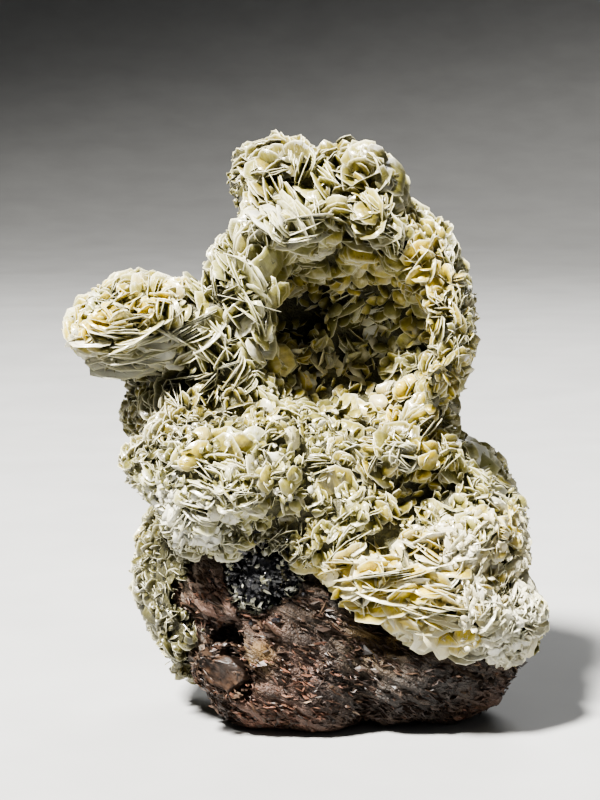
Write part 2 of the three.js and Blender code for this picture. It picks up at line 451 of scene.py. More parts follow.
@dataclass
class Sheet:
    """One plate in its place: centre, its three directions, and its width, length and thickness."""

    shape: int
    centre: np.ndarray
    side: np.ndarray
    out: np.ndarray
    face: np.ndarray
    width: float
    length: float
    thick: float
    tone: float
    stain: float


def inside_box(points):
    """Points kept within the CAD model's own box."""
    return np.clip(points, np.array(cad_low) + BOX_MARGIN, np.array(cad_high) - BOX_MARGIN)


def joined_sheets(name, sheets, shapes, material, floor=0.0):
    """One object that holds every sheet."""
    points, faces, smooth = [], [], []
    values = {"tone": [], "stain": [], "rim": [], "tip": [], "flat": []}
    start = 0
    rng = np.random.default_rng(SEED + len(sheets))
    for index, plate in enumerate(shapes):
        group = [s for s in sheets if s.shape == index]
        if not group:
            continue
        field = {key: np.array([getattr(s, key) for s in group]) for key in vars(group[0])}
        width, length = field["width"][:, None], field["length"][:, None]
        x, y = plate.flat[:, 0] * width, plate.flat[:, 1] * length
        z = plate.height * width + plate.side * field["thick"][:, None] / 2
        placed = (
            field["centre"][:, None]
            + x[..., None] * field["side"][:, None]
            + y[..., None] * field["out"][:, None]
            + z[..., None] * field["face"][:, None]
        )
        many, each = x.shape
        points.append(placed.reshape(-1, 3))
        steps = start + np.arange(many)[:, None, None] * each
        faces.append((plate.faces[None] + steps).reshape(-1, 3))
        smooth.append(np.tile(plate.smooth, many))
        values["tone"].append(np.repeat(field["tone"], each))
        values["stain"].append(np.repeat(field["stain"], each))
        values["rim"].append(np.tile(plate.rim, many))
        values["tip"].append(np.tile(plate.flat[:, 1] + 0.5, many))
        own = rng.uniform(0, 1, (many, 1))
        flat = np.stack([x + own, y + own * 3, np.broadcast_to(own, x.shape)], 2)
        values["flat"].append(flat.reshape(-1, 3))
        start += many * each
    points = inside_box(np.vstack(points))
    points[:, 2] = np.maximum(points[:, 2], floor)
    o = triangles_object(name, points, np.vstack(faces), material, np.concatenate(smooth))
    for key, parts in values.items():
        point_values(o.data, key, np.concatenate(parts))
    return o


# ---- growing the crystals

TINY_SHAPES, PLAIN_SHAPES, STRAIGHT_SHAPES, FULL_SHAPES = 6, 9, 8, 14
HOLE_MARGIN = 2.6 * MM  # how far round the deep hole stays free of plates
BIG_PLATE = 6.3 * MM  # plates wider than this get the full shapes, which can curl
PLATE_THICK = (0.07, 0.15)  # mm, thinnest and thickest
TIP_REACH = (0.86, 0.985)  # where a plate's tip ends, as a share of the way to the surface
BOOK_GAP = (0.2, 0.45)  # mm from a plate to a thinner sheet that lies against it
ROSE_TILT = (22, 78)  # degrees from upright of the petals in the middle and at the rim
FAN_DEPTH = 6.5 * MM  # the deepest that a fan's root line lies
SHEAF_LEAN = 13  # degrees to each side
NARROW_FAN = 25  # degrees; a fan that leans less grows nearly square to the way its plates face
FLAKE_THICK, SCATTER_THICK = 0.08 * MM, 0.1 * MM
CRYSTAL_TRIES, FILLER_TRIES = 14000, 20000  # how many places are tried


def plate_shapes(rng):
    """Tiny flakes, plain plates of few faces, straight plates for fans, and full ones that can curl."""
    tiny = [Plate(rng, sides=6, rings=1) for _ in range(TINY_SHAPES)]
    plain = [Plate(rng, sides=10, rings=1) for _ in range(PLAIN_SHAPES)]
    straight = [Plate(rng, 12, rings=1, cup=0.0, curl=0.02, blunt=True) for _ in range(STRAIGHT_SHAPES)]
    full = [Plate(rng, sides=12, rings=2) for _ in range(FULL_SHAPES)]
    return tiny + plain + straight + full


@dataclass
class Look:
    """What one rose, fan or shell is like, and where it grows."""

    place: np.ndarray
    normal: np.ndarray
    facing: np.ndarray
    size: float
    tone: float
    stain: float
    fan: float = 55
    book: float = 0.4  # how many thinner sheets lie against a plate, on average


class Grower:
    """Adds plates to a list, each with its tip at the cluster's surface or below it."""

    def __init__(self, skin, rng):
        self.skin, self.rng = skin, rng
        self.sheets = []

    def shape(self, straight, width):
        """Picks one of the plate shapes: straight ones, full ones for broad plates, or plain ones."""
        if straight:
            return int(TINY_SHAPES + PLAIN_SHAPES + self.rng.integers(STRAIGHT_SHAPES))
        if width > BIG_PLATE:
            return int(TINY_SHAPES + PLAIN_SHAPES + STRAIGHT_SHAPES + self.rng.integers(FULL_SHAPES))
        return int(TINY_SHAPES + self.rng.integers(PLAIN_SHAPES))

    def plate(self, look, start, out, face, width, length, most, books=None, straight=False):
        """One plate from a start inside, and the thinner sheets that lie against it."""
        rng = self.rng
        side = unit(np.cross(out, face))
        face = np.cross(side, out)
        reach = self.skin.reach(start, out, most)
        if reach is None:
            return
        centre = start + out * (reach * rng.uniform(*TIP_REACH) - length / 2)
        tone = look.tone + rng.normal(0, 0.17)
        stain = look.stain * rng.uniform(0.2, 1.8)
        thick = rng.uniform(*PLATE_THICK) * MM
        shape = self.shape(straight, width)
        sheet = Sheet(shape, centre, side, out, face, width, length, thick, tone, stain)
        self.sheets.append(sheet)
        for _ in range(rng.poisson(look.book if books is None else books)):
            gap = rng.choice([-1, 1]) * rng.uniform(*BOOK_GAP) * MM
            slip = out * rng.normal(-0.03, 0.05) * length + side * rng.normal(0, 0.07) * width
            turned = unit(face + side * rng.normal(0, 0.05) + out * rng.normal(0, 0.05))
            along = unit(np.cross(turned, side))
            less = rng.uniform(0.7, 0.97)
            self.sheets.append(
                replace(
                    sheet,
                    shape=self.shape(straight, 0),
                    centre=centre + face * gap + slip,
                    side=unit(np.cross(along, turned)),
                    out=along,
                    face=turned,
                    width=width * less,
                    length=length * less,
                    tone=tone + rng.normal(0, 0.08),
                )
            )

    def rose(self, look):
        """Petals round one root, upright in the middle and opened wide at the rim."""
        rng, size, normal = self.rng, look.size, look.normal
        root = look.place - normal * size * 0.5
        u = across(normal, rng.normal(size=3))
        v = np.cross(normal, u)
        count = int(rng.integers(7, 10))
        inner, outer = ROSE_TILT
        for i in range(count):
            share = (i + 0.5) / count
            tilt = math.radians(inner + (outer - inner) * share**0.8 + rng.normal(0, 12))
            turn = i * GOLDEN_TURN + rng.normal(0, 0.5)
            radial = u * math.cos(turn) + v * math.sin(turn)
            out = normal * math.cos(tilt) + radial * math.sin(tilt)
            face = normal * math.sin(tilt) - radial * math.cos(tilt)
            face = unit(face + np.cross(out, face) * rng.normal(0, 0.55))
            width = size * (0.55 + 0.38 * share) * rng.uniform(0.7, 1.2)
            length = width * rng.uniform(0.75, 1.05)
            foot = root + radial * size * 0.14 * share + normal * rng.uniform(-0.08, 0.03) * size
            self.plate(look, foot, out, face, width, length, size * 0.64)

    def sheaf(self, look):
        """A thick fan of nearly parallel plates."""
        self.fan(replace(look, fan=SHEAF_LEAN, book=0.9))

    def fan(self, look):
        """Plates that share one root line, and lean more and more to each side of it."""
        rng, size, normal = self.rng, look.size, look.normal
        if look.fan < NARROW_FAN:
            normal = unit(normal - look.facing * (normal @ look.facing) * 0.85)
        depth = min(size * 0.68, FAN_DEPTH)
        root = look.place - normal * depth
        lean_way = across(normal, look.facing)
        axis = np.cross(normal, lean_way)
        count = int(rng.integers(6, 10))
        for i in range(count):
            share = 2 * (i + 0.5 + rng.normal(0, 0.22)) / count - 1
            lean = math.radians(look.fan) * share + rng.normal(0, 0.08)
            out = normal * math.cos(lean) + lean_way * math.sin(lean)
            out = unit(out + axis * rng.normal(0, 0.18))
            roll = rng.normal(0, 0.3 if look.fan > 20 else 0.13)
            face = lean_way * math.cos(lean) - normal * math.sin(lean) + axis * roll
            face = unit(face - out * (face @ out))
            width = size * rng.uniform(0.55, 1.2) * (1 - 0.2 * share**2)
            length = width * rng.uniform(0.78, 1.1)
            start = root + axis * rng.normal(0, 0.16) * size + lean_way * share * size * 0.3
            self.plate(look, start, out, face, width, length, depth * 1.25, look.book * 1.8, straight=True)

    def shell(self, look):
        """Broad plates that lie over each other, nearly flat on the surface."""
        rng, size = self.rng, look.size
        look = replace(look, tone=look.tone - 0.12)
        for i in range(int(rng.integers(3, 6))):
            place, normal = look.place, look.normal
            if i > 0:
                place, normal = self.skin.nearest(place + across(normal, rng.normal(size=3)) * size * 0.5)
            facing = look.facing if look.facing @ normal > 0.2 else unit(look.facing + normal * 1.2)
            face = unit(facing + rng.normal(0, 0.13 if i == 0 else 0.3, 3))
            way = across(normal, face)
            tilt = min(math.acos(max(-1.0, min(1.0, face @ normal))), 1.1)
            face = normal * math.cos(tilt) + way * math.sin(tilt)
            out = normal * math.sin(tilt) - way * math.cos(tilt)
            width = size * (1.0 if i == 0 else rng.uniform(0.5, 0.95))
            length = width * rng.uniform(0.8, 1.0)
            down = math.sin(tilt) * length + (0.15 + 0.25 * i) * MM
            start = place + way * math.cos(tilt) * length / 2 - normal * down
            self.plate(look, start, out, face, width, length, length, 0.15)

    def filler(self, look):
        """One or two small plates in the gaps."""
        rng = self.rng
        for _ in range(int(rng.integers(1, 3))):
            out = unit(look.normal + rng.normal(0, 0.6, 3))
            face = across(out, rng.normal(size=3))
            width = look.size * rng.uniform(0.45, 0.7)
            start = look.place - look.normal * look.size * 0.6
            sunk = look.size * rng.uniform(0.25, 0.5)
            self.plate(look, start, out, face, width, width * rng.uniform(0.75, 1.05), sunk)


def zone_facing(zone, rng):
    """The way that one crystal of a zone faces."""
    chance = rng.normal(size=3)
    if zone.facing is None:
        return unit(chance)
    return unit(unit(np.array(zone.facing, float)) + chance * 0.22)


def hero_look(skin, hero, rng):
    """The look of one of the crystals that stand out."""
    spot, _, size, facing, tone, stain = hero
    place, normal = skin.front(spot)
    facing = unit(rng.normal(size=3)) if facing is None else unit(np.array(facing, float))
    return Look(place, normal, facing, size * MM, tone, stain, fan=30, book=0.6)


def grow_crystals(skin, looks):
    """Every plate of the cluster, as (place, sheets) for each rose, fan, shell or filler."""
    rng = np.random.default_rng(SEED)
    found = []
    hole = opening("deep_hole") + np.array([[-1.0], [1.0]]) * HOLE_MARGIN

    def grow(look, kind):
        if (look.place > hole[0]).all() and (look.place < hole[1]).all():
            return
        grower = Grower(skin, rng)
        getattr(grower, kind)(look)
        found.append((look.place, grower.sheets))

    heroes = [hero_look(skin, hero, rng) for hero in HEROES]
    shells = []
    for look, (_, kind, *_) in zip(heroes, HEROES, strict=True):
        grow(look, kind)
        if kind == "shell":
            shells.append((look.place, look.size * 0.4))

    def on_shell(place):
        """Whether a place is on one of the broad plates that stand out, which stay clear."""
        return any(np.linalg.norm(place - middle) < radius for middle, radius in shells)

    def looks_at(places, normals):
        weights = looks.weights(places)
        fields = {k: looks.blend(k, weights) for k in ("size", "tone", "stain", "fan")}
        patches = Waves(SEED + 1, 16 * MM)(places)
        for i, place in enumerate(places):
            zone = looks.zones[rng.choice(len(looks.zones), p=weights[i])]
            yield zone, Look(
                place=place - normals[i] * rng.uniform(0, 0.14) * fields["size"][i] * MM,
                normal=normals[i],
                facing=zone_facing(zone, rng),
                size=fields["size"][i] * rng.uniform(0.8, 1.2) * MM,
                tone=fields["tone"][i] + 0.14 * patches[i] + rng.normal(0, 0.08),
                stain=max(0.0, fields["stain"][i] * (1 + 1.2 * patches[i])),
                fan=fields["fan"][i],
                book=0.45 if fields["size"][i] > 4.5 else 0.15,
            )

    def spacing(places, share, least):
        size = looks.blend("size", looks.weights(places))
        return np.maximum(size * share, least) * MM

    spots = [look.place for look in heroes]
    places, normals = skin.spaced(rng, lambda p: spacing(p, share=0.74, least=2.4), CRYSTAL_TRIES, spots)
    for zone, look in looks_at(places, normals):
        kind = rng.choice(["rose", "fan", "shell"], p=zone.kinds)
        if not on_shell(look.place):
            grow(look, kind)
    places, normals = skin.spaced(rng, lambda p: spacing(p, share=0.42, least=1.7), FILLER_TRIES)
    for _, look in looks_at(places, normals):
        # painted shade: the fillers sit low in the gaps and are darkened for it
        look.tone -= 0.1
        if not on_shell(look.place):
            grow(look, "filler")
    return found


def rim_places(patch, rng, count, inner):
    """Random places on a patch, most of them near its ragged rim as it shows from the front."""
    places, normals = patch.scatter(rng, count)
    away = np.linalg.norm((places - patch.points.mean(axis=0))[:, [0, 2]], axis=1)
    ragged = 0.25 * Waves(44, 5 * MM)(places)
    kept = rng.random(count) < np.clip((away / away.max() + ragged - inner) * 1.6, 0.04, 1)
    return places[kept], normals[kept]


def strewn_way(rng, normal, least):
    """The way that a strewn flake faces, and its side: any way, though mostly up from the surface."""
    way = unit(normal * rng.uniform(least, 1.4) + rng.normal(size=3))
    return way, across(way, rng.normal(size=3))


def border_flakes(patch, count):
    """Silvery flakes strewn over the rim of the tourmaline patch."""
    rng = np.random.default_rng(SEED + 9)
    places, normals = rim_places(patch, rng, count, inner=0.45)
    found = []
    for place, normal in zip(places, normals, strict=True):
        way, side = strewn_way(rng, normal, 0.2)
        length = rng.uniform(0.6, 2.4) * MM
        width = length * rng.uniform(0.2, 0.7)
        centre = place + normal * rng.uniform(-0.7, 0.3) * MM
        shape = int(rng.integers(TINY_SHAPES))
        tone = rng.uniform(0.85, 1.4)
        flake = Sheet(shape, centre, side, np.cross(way, side), way, width, length, FLAKE_THICK, tone, 0.0)
        found.append((place, [flake]))
    return found


def scatter_flakes(skin, looks, count):
    """Fine flakes that lie every way, most of all where the zones are grainy."""
    rng = np.random.default_rng(SEED + 2)
    places, normals = skin.scatter(rng, count)
    weights = looks.weights(places)
    grain, tone, stain = (looks.blend(k, weights) for k in ("grain", "tone", "stain"))
    kept = np.flatnonzero(rng.random(count) < grain)
    found = []
    for i in kept:
        way, side = strewn_way(rng, normals[i], 0)
        width = rng.uniform(0.6, 1.9) * MM
        centre = places[i] - normals[i] * (0.3 + rng.gamma(1.6, 0.8)) * MM
        if not skin.holds(centre, normals[i]):
            continue
        shape = int(rng.integers(TINY_SHAPES))
        length = width * rng.uniform(0.6, 1)
        shade = tone[i] + rng.normal(0.05, 0.25)
        out, rusty = np.cross(way, side), stain[i] * 0.6
        flake = Sheet(shape, centre, side, out, way, width, length, SCATTER_THICK, shade, rusty)
        found.append((places[i], [flake]))
    return found


# ---- materials


class Nodes:
    """A short way to write a material's nodes."""

    def __init__(self, name):
        self.material = bpy.data.materials.new(name)
        self.material.use_nodes = True
        self.tree = self.material.node_tree
        self.tree.nodes.clear()

    def add(self, kind, settings=None, **inputs):
        node = self.tree.nodes.new(kind)
        for key, value in (settings or {}).items():
            setattr(node, key, value)
        for key, value in inputs.items():
            self.set(node, key.replace("_", " "), value)
        return node

    def set(self, node, key, value):
        socket = node.inputs[int(key)] if key.isdigit() else node.inputs[key]
        if isinstance(value, bpy.types.NodeSocket):
            self.tree.links.new(value, socket)
        else:
            socket.default_value = value

    def value(self, name):
        return self.add("ShaderNodeAttribute", {"attribute_name": name}).outputs["Fac"]

    def vector(self, name):
        return self.add("ShaderNodeAttribute", {"attribute_name": name}).outputs["Vector"]

    def place(self):
        return self.add("ShaderNodeTexCoord").outputs["Object"]

    def math(self, operation, a, b=0.0, clamp=False):
        node = self.add("ShaderNodeMath", {"operation": operation, "use_clamp": clamp})
        self.set(node, "0", a)
        self.set(node, "1", b)
        return node.outputs[0]

    def plus(self, a, b):
        return self.math("ADD", a, b)

    def minus(self, a, b):
        return self.math("SUBTRACT", a, b)

    def times(self, a, b, clamp=False):
        return self.math("MULTIPLY", a, b, clamp)

    def about(self, value, middle, gain, clamp=False):
        """How far a value lies past middle, times gain."""
        return self.times(self.minus(value, middle), gain, clamp)

    def mix(self, share, a, b):
        """Two colours blended: all a at share 0 and all b at share 1."""
        node = self.add("ShaderNodeMix", {"data_type": "RGBA", "clamp_factor": True})
        self.set(node, "0", share)
        self.set(node, "6", a)
        self.set(node, "7", b)
        return node.outputs[2]

    def ramp(self, share, stops):
        node = self.add("ShaderNodeValToRGB", Fac=share)
        points = node.color_ramp.elements
        while len(points) < len(stops):
            points.new(0.5)
        for point, (place, colour) in zip(points, stops, strict=True):
            point.position = place
            point.color = (*colour, 1)
        return node.outputs["Color"]

    def noise(self, vector, scale, detail=3.0, distortion=0.0):
        inputs = {"Vector": vector, "Scale": scale, "Detail": detail, "Distortion": distortion}
        return self.add("ShaderNodeTexNoise", **inputs).outputs["Fac"]

    def bump(self, height, distance, strength=1.0):
        node = self.add("ShaderNodeBump", Height=height, Distance=distance, Strength=strength)
        return node.outputs["Normal"]

    def finish(self, **inputs):
        shader = self.add("ShaderNodeBsdfPrincipled", **inputs)
        out = self.add("ShaderNodeOutputMaterial")
        self.tree.links.new(shader.outputs[0], out.inputs["Surface"])
        return self.material


ROOT_PAINTED_SHADE = (0.09, 0.08, 0.025, 1)  # painted shade: the dark olive that a plate darkens to at its root
EDGE_LIGHT = (0.93, 0.89, 0.62, 1)  # the pale line along a plate's free edge
STRIAE_LIGHT = (0.9, 0.86, 0.5, 1)
# painted shade: the black that the ground turns to inside the deep hole
HOLLOW_PAINTED_SHADE = (0.004, 0.004, 0.003, 1)
GLINT = (0.32, 0.26, 0.21, 1)
ROSY = (0.3, 0.14, 0.09, 1)

# The rock's spots: how much of each colour shows at full strength, and the colour.
ROCK_TINTS = {
    "pink": (0.6, (0.2, 0.098, 0.066, 1)),
    "rust": (0.6, (0.2, 0.115, 0.018, 1)),
    # dark: partly the rock's own near-black patches, partly painted shade in a hole and under the overhang
    "dark": (0.7, (0.012, 0.01, 0.009, 1)),
    "pale": (0.5, (0.2, 0.17, 0.13, 1)),
}


def mica_material():
    """Pearly plates: olive where they face you, pale along the edge, rusty where iron has crept in, and
    darkened towards the root with painted shade.
    """
    n = Nodes("mica")
    flat = n.vector("flat")
    tone, stain, rim, tip = (n.value(name) for name in ("tone", "stain", "rim", "tip"))
    mottle = n.noise(flat, 900, 4)
    drawn_out = n.add("ShaderNodeMapping", Vector=flat, Scale=(6.0, 1.0, 1.0)).outputs["Vector"]
    striae = n.about(n.noise(drawn_out, 700, 4, 0.4), 0.48, 5.0, clamp=True)
    shade = n.plus(tone, n.about(mottle, 0.5, 0.6))
    body = n.ramp(
        shade,
        [
            (0.0, (0.06, 0.053, 0.01)),
            (0.3, (0.14, 0.13, 0.027)),
            (0.55, (0.26, 0.245, 0.062)),
            (0.8, (0.46, 0.435, 0.165)),
            (1.0, (0.84, 0.83, 0.73)),
        ],
    )
    rusts = [(0.25, (0.42, 0.28, 0.01)), (0.5, (0.66, 0.5, 0.02)), (0.8, (0.86, 0.72, 0.13))]
    rusty = n.ramp(mottle, rusts)
    body = n.mix(n.times(stain, n.plus(mottle, 0.35), clamp=True), body, rusty)
    # painted shade: each plate darkens towards its root, the more so the lower its tone
    root = n.times(n.minus(0.75, tip), n.minus(1.35, tone), clamp=True)
    body = n.mix(root, body, ROOT_PAINTED_SHADE)
    edge = n.times(n.math("POWER", rim, 14.0), n.times(tip, 1.1))
    body = n.mix(edge, body, EDGE_LIGHT)
    body = n.mix(n.times(striae, 0.12), body, STRIAE_LIGHT)
    height = n.plus(n.times(striae, 0.5), n.times(mottle, 1.5))
    return n.finish(
        Base_Color=body,
        Roughness=n.plus(0.2, n.times(mottle, 0.25)),
        IOR=1.59,
        Transmission_Weight=0.45,
        Coat_Weight=0.35,
        Coat_Roughness=0.16,
        Normal=n.bump(height, 0.08 * MM, 0.8),
    )


def ground_shade_material():
    """The intergrown mass that the plates stand on, near-black as painted shade in the gaps between the
    plates.
    """
    n = Nodes("mica_ground")
    place = n.place()
    broad = n.noise(place, 140, 3)
    fine = n.noise(place, 1400, 5, 1.0)
    shade = n.plus(n.times(broad, 0.5), n.times(fine, 0.5))
    # painted shade: near-black, so that the gaps between the plates read as shadow
    colour = n.ramp(
        shade,
        [(0.3, (0.015, 0.013, 0.005)), (0.5, (0.05, 0.045, 0.015)), (0.7, (0.13, 0.12, 0.045))],
    )
    # painted shade: the ground goes black inside the deep hole
    colour = n.mix(n.value("hollow_shade"), colour, HOLLOW_PAINTED_SHADE)
    return n.finish(Base_Color=colour, Roughness=0.5, Normal=n.bump(fine, 0.5 * MM))


def rock_material():
    """Dark brown schist with pinkish, rusty and near-black bands along its foliation, and near-black spots
    that are partly its own colour and partly painted shade.
    """
    n = Nodes("host_rock")
    grain = n.vector("grain")
    bands = n.noise(grain, 1.0, 6, 0.6)
    place = n.place()
    speck = n.noise(place, 2300, 3)
    colour = n.ramp(
        bands,
        [
            (0.3, (0.004, 0.003, 0.002)),
            (0.45, (0.02, 0.012, 0.007)),
            (0.58, (0.046, 0.029, 0.018)),
            (0.72, (0.095, 0.06, 0.038)),
        ],
    )
    for kind, (most, tint) in ROCK_TINTS.items():
        colour = n.mix(n.times(n.value(kind), most), colour, tint)
    glint = n.about(speck, 0.6, 7.0, clamp=True)
    colour = n.mix(n.times(glint, 0.3), colour, GLINT)
    height = n.plus(bands, n.times(speck, 0.4))
    rough = n.minus(0.6, n.times(glint, 0.35))
    return n.finish(Base_Color=colour, Roughness=rough, Normal=n.bump(height, 1.2 * MM))


def rock_flake_material():
    """Biotite and pink mica flakes in the host rock."""
    n = Nodes("rock_flakes")
    mottle = n.noise(n.vector("flat"), 1500, 3)
    shade = n.plus(n.value("tone"), n.about(mottle, 0.5, 0.4))
    colour = n.ramp(
        shade,
        [
            (0.0, (0.006, 0.004, 0.003)),
            (0.4, (0.024, 0.015, 0.009)),
            (0.75, (0.052, 0.033, 0.02)),
            (1.0, (0.16, 0.115, 0.078)),
        ],
    )
    colour = n.mix(n.value("stain"), colour, ROSY)
    return n.finish(Base_Color=colour, Roughness=0.5, IOR=1.5)


def tourmaline_material():
    """Black prisms with a dull shine."""
    n = Nodes("tourmaline")
    grain = n.noise(n.place(), 1200, 3)
    colour = n.ramp(grain, [(0.35, (0.003, 0.003, 0.004)), (0.7, (0.022, 0.022, 0.026))])
    rough = n.plus(0.1, n.times(grain, 0.25))
    return n.finish(Base_Color=colour, Roughness=rough, IOR=1.64, Normal=n.bump(grain, 0.15 * MM))


def quartz_material():
    """Smoky, slightly cloudy quartz."""
    n = Nodes("quartz")
    place = n.place()
    cloud = n.noise(place, 260, 4, 1.5)
    colour = n.ramp(
        cloud,
        [(0.3, (0.012, 0.006, 0.003)), (0.5, (0.035, 0.017, 0.008)), (0.7, (0.095, 0.05, 0.026))],
    )
    return n.finish(
        Base_Color=colour,
        Roughness=0.5,
        IOR=1.54,
        Transmission_Weight=0.35,
        Normal=n.bump(n.noise(place, 700, 4), 0.4 * MM),
    )


# ---- the pieces


def finish_piece(o, slot, *nodes):
    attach(o, "root")
    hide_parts(*nodes)
    return o


def opening(name):
    """The box of one of the record's stated openings."""
    boxes = frame["record"]["physics"]["openings"]
    return next(np.array(b["box_m"]) for b in boxes if b["name"] == name)


GROUND_COVER = 1.0 * MM  # how far the ground stays below the CAD surface, at the least
GROUND_DEPTH = (1.6, 4.2)  # mm, shallowest and deepest before its lumps
GROUND_FOOT = 0.6 * MM  # its lowest point
PLATE_FOOT = 0.4 * MM  # the lowest that a plate reaches


def mica_ground(material, outer, looks):
    """The cluster's own mass: its CAD shape drawn in by half a plate's length, and roughened."""
    inner, points, normals = node_copy("inner", "mica_cluster", voxel=1.1 * MM, smoothing=3)
    size = looks.blend("size", looks.weights(points))
    lumps = Waves(5, 7 * MM)(points)
    points -= normals * (np.clip(size * 0.52, *GROUND_DEPTH) + 0.7 * lumps)[:, None] * MM
    moved_points(inner.data, points)
    o = remeshed("mica_ground", inner.data, voxel=1.15 * MM, smoothing=0)
    bpy.data.objects.remove(inner)
    points, normals, _ = arrays_of(o.data)
    rough = Waves(6, 2.6 * MM)(points) * 0.3 + Waves(7, 1.3 * MM)(points) * 0.2
    points += normals * rough[:, None] * MM
    for i, point in enumerate(points):
        place, normal = outer.nearest(point)
        if (point - place) @ normal > -GROUND_COVER:
            points[i] = place - normal * GROUND_COVER
    points[:, 2] = np.maximum(points[:, 2], GROUND_FOOT)
    shaped(o, points, material)
    # how far into the deep hole each point lies, for the hole's painted shade
    low, high = opening("deep_hole")
    inside = np.abs(points - (low + high) / 2) / (high - low) * 2
    point_values(o.data, "hollow_shade", np.clip(2.1 - inside.max(axis=1), 0, 1))
    return finish_piece(o, "mica", "mica_cluster")


def ground_flakes(ground, skin, looks, count):
    """Small flakes that stand on the ground between the plates."""
    rng = np.random.default_rng(SEED + 8)
    points, normals, _ = arrays_of(ground.data)
    picked = rng.choice(len(points), count, replace=False)
    places, normals = points[picked], normals[picked]
    weights = looks.weights(places)
    size, tone, stain = (looks.blend(k, weights) for k in ("size", "tone", "stain"))
    low, high = opening("deep_hole")
    found = []
    for i, place in enumerate(places):
        if (place > low).all() and (place < high).all():
            continue
        out = unit(normals[i] + rng.normal(0, 0.7, 3))
        face = across(out, rng.normal(size=3))
        width = size[i] * rng.uniform(0.3, 0.55) * MM
        centre = place + out * width * 0.3
        if not skin.holds(centre, normals[i]):
            continue
        shape = int(rng.integers(TINY_SHAPES))
        side = np.cross(out, face)
        # painted shade: flakes down on the ground are darker than the plates above them
        gap_shade_tone = tone[i] - 0.2
        sheet = Sheet(shape, centre, side, out, face, width, width, FLAKE_THICK, gap_shade_tone, stain[i])
        found.append((place, [sheet]))
    return found


# How many flakes are tried of each sort.
SCATTER_FLAKES, GROUND_FLAKES, BORDER_FLAKES = 17500, 3600, 1700
ROCK_FLAKES, QUARTZ_RIM_FLAKES = 17500, 1500

# Parts of the cluster, each a mesh of its own: a name and a place in mm near its middle.
PARTS = {
    "crown_crystals": (4, 0, 100),
    "arch_crystals": (22, -4, 74),
    "arch_left_crystals": (-10, -4, 78),
    "left_rosette_crystals": (-32, -6, 74),
    "front_lobe_crystals": (-16, -20, 48),
    "right_lobe_crystals": (30, -4, 42),
    "front_band_crystals": (20, -22, 26),
    "middle_crystals": (4, -14, 46),
    "left_flank_crystals": (-24, 6, 26),
    "back_upper_crystals": (4, 24, 76),
    "back_lower_crystals": (6, 26, 36),
}


def mica_crystals(material, skin, looks, ground, patch):
    """All the plates and flakes, each joined to the part of the cluster that it is nearest to."""
    shapes = plate_shapes(np.random.default_rng(SEED + 3))
    grown = grow_crystals(skin, looks)
    grown += scatter_flakes(skin, looks, SCATTER_FLAKES)
    grown += ground_flakes(ground, skin, looks, GROUND_FLAKES)
    grown += border_flakes(patch, BORDER_FLAKES)
    spots = np.array(list(PARTS.values())) * MM
    places = np.array([place for place, _ in grown])
    nearest = ((places[:, None] - spots[None]) ** 2).sum(axis=2).argmin(axis=1)
    for index, name in enumerate(PARTS):
        sheets = [s for i in np.flatnonzero(nearest == index) for s in grown[i][1]]
        o = joined_sheets(name, sheets, shapes, material, floor=PLATE_FOOT)
        finish_piece(o, "mica", "mica_cluster")


FOLIATION = unit(np.array([0.84, 0.1, -0.46]))  # the way the rock's layers run, down to the right
THROUGH = unit(np.cross(FOLIATION, [0.0, 1.0, 0.0]))  # straight through the layers
STREAK = (110, 1100, 420)  # how fine the streaks are along, through and across the layers
ROCK_RELIEF = 1.5  # mm, about the height of the ridges
SLIVER_SHAPES = 8

# Spots of colour in the rock: attribute, spot, radius in mm and strength.
ROCK_SPOTS = [
    ("pink", (-0.4, 0.235), 6.0, 0.8),
    ("pink", (0.0, 0.13), 3.5, 1.0),
    ("pink", (-0.22, 0.02), 6.0, 0.9),
    ("pink", (0.1, 0.0), 5.0, 0.6),
    ("pink", (-0.16, 0.19), 3.0, 0.7),
    ("pink", (0.75, 0.03), 6.0, 0.5),
    ("rust", (-0.2, 0.145), 3.2, 0.9),
    ("rust", (0.28, 0.16), 5.5, 1.0),
    ("dark", (0.3, 0.09), 8.0, 0.9),
    # painted shade under the overhanging crystals
    ("dark", (0.05, 0.12), 8.0, 1.0),
    ("pink", (-0.08, 0.04), 8.0, 0.7),
    ("pale", (-0.5, 0.27), 6.0, 1.0),
    ("pale", (-0.3, 0.3), 4.0, 0.6),
    ("pale", (-0.45, 0.13), 3.0, 0.8),
    ("dark", (0.55, 0.08), 8.0, 1.0),
    # painted shade in the dark hole at the rock's left
    ("dark", (-0.3, 0.16), 4.0, 1.0),
]


def rock_spots(skin, points, kind):
    """How strongly one kind of spot shows at each point, from 0 to 1."""
    total = np.zeros(len(points))
    for name, spot, radius, strength in ROCK_SPOTS:
        if name == kind:
            gap = np.linalg.norm(points - skin.front(spot)[0], axis=1) / (radius * MM)
            total += strength * np.exp(-(gap**2))
    ragged = 1 + 0.7 * Waves(len(kind) + 30, 4 * MM)(points)
    return np.clip(total * ragged, 0, 1)


def grain_points(points):
    """Places measured along, through and across the rock's layers, for streaks that follow them."""
    third = np.cross(FOLIATION, THROUGH)
    return np.stack([points @ FOLIATION, points @ THROUGH, points @ third], axis=1) * STREAK


def host_rock(material, skin):
    """The rock's body, with blocks and with ridges along its layers, on a flat base."""
    o, points, normals = node_copy("rock_body", "host_rock", voxel=0.72 * MM, smoothing=1)
    streaks = grain_points(points)
    ridges = 0.5 - np.abs(Waves(11, 4.4, 9)(streaks)) + (0.5 - np.abs(Waves(12, 2.2, 9)(streaks))) * 0.5
    blocks = Waves(13, 6 * MM)(points) * 0.6
    above = np.clip(points[:, 2] / (1.5 * MM), 0, 1)
    points += normals * ((ROCK_RELIEF * ridges + blocks - 1.1) * above)[:, None] * MM
    points[:, 2] = np.maximum(points[:, 2], 0)
    shaped(o, points, material)
    point_values(o.data, "grain", grain_points(points))
    for kind in ROCK_TINTS:
        point_values(o.data, kind, rock_spots(skin, points, kind))
    return finish_piece(o, "rock", "host_rock")


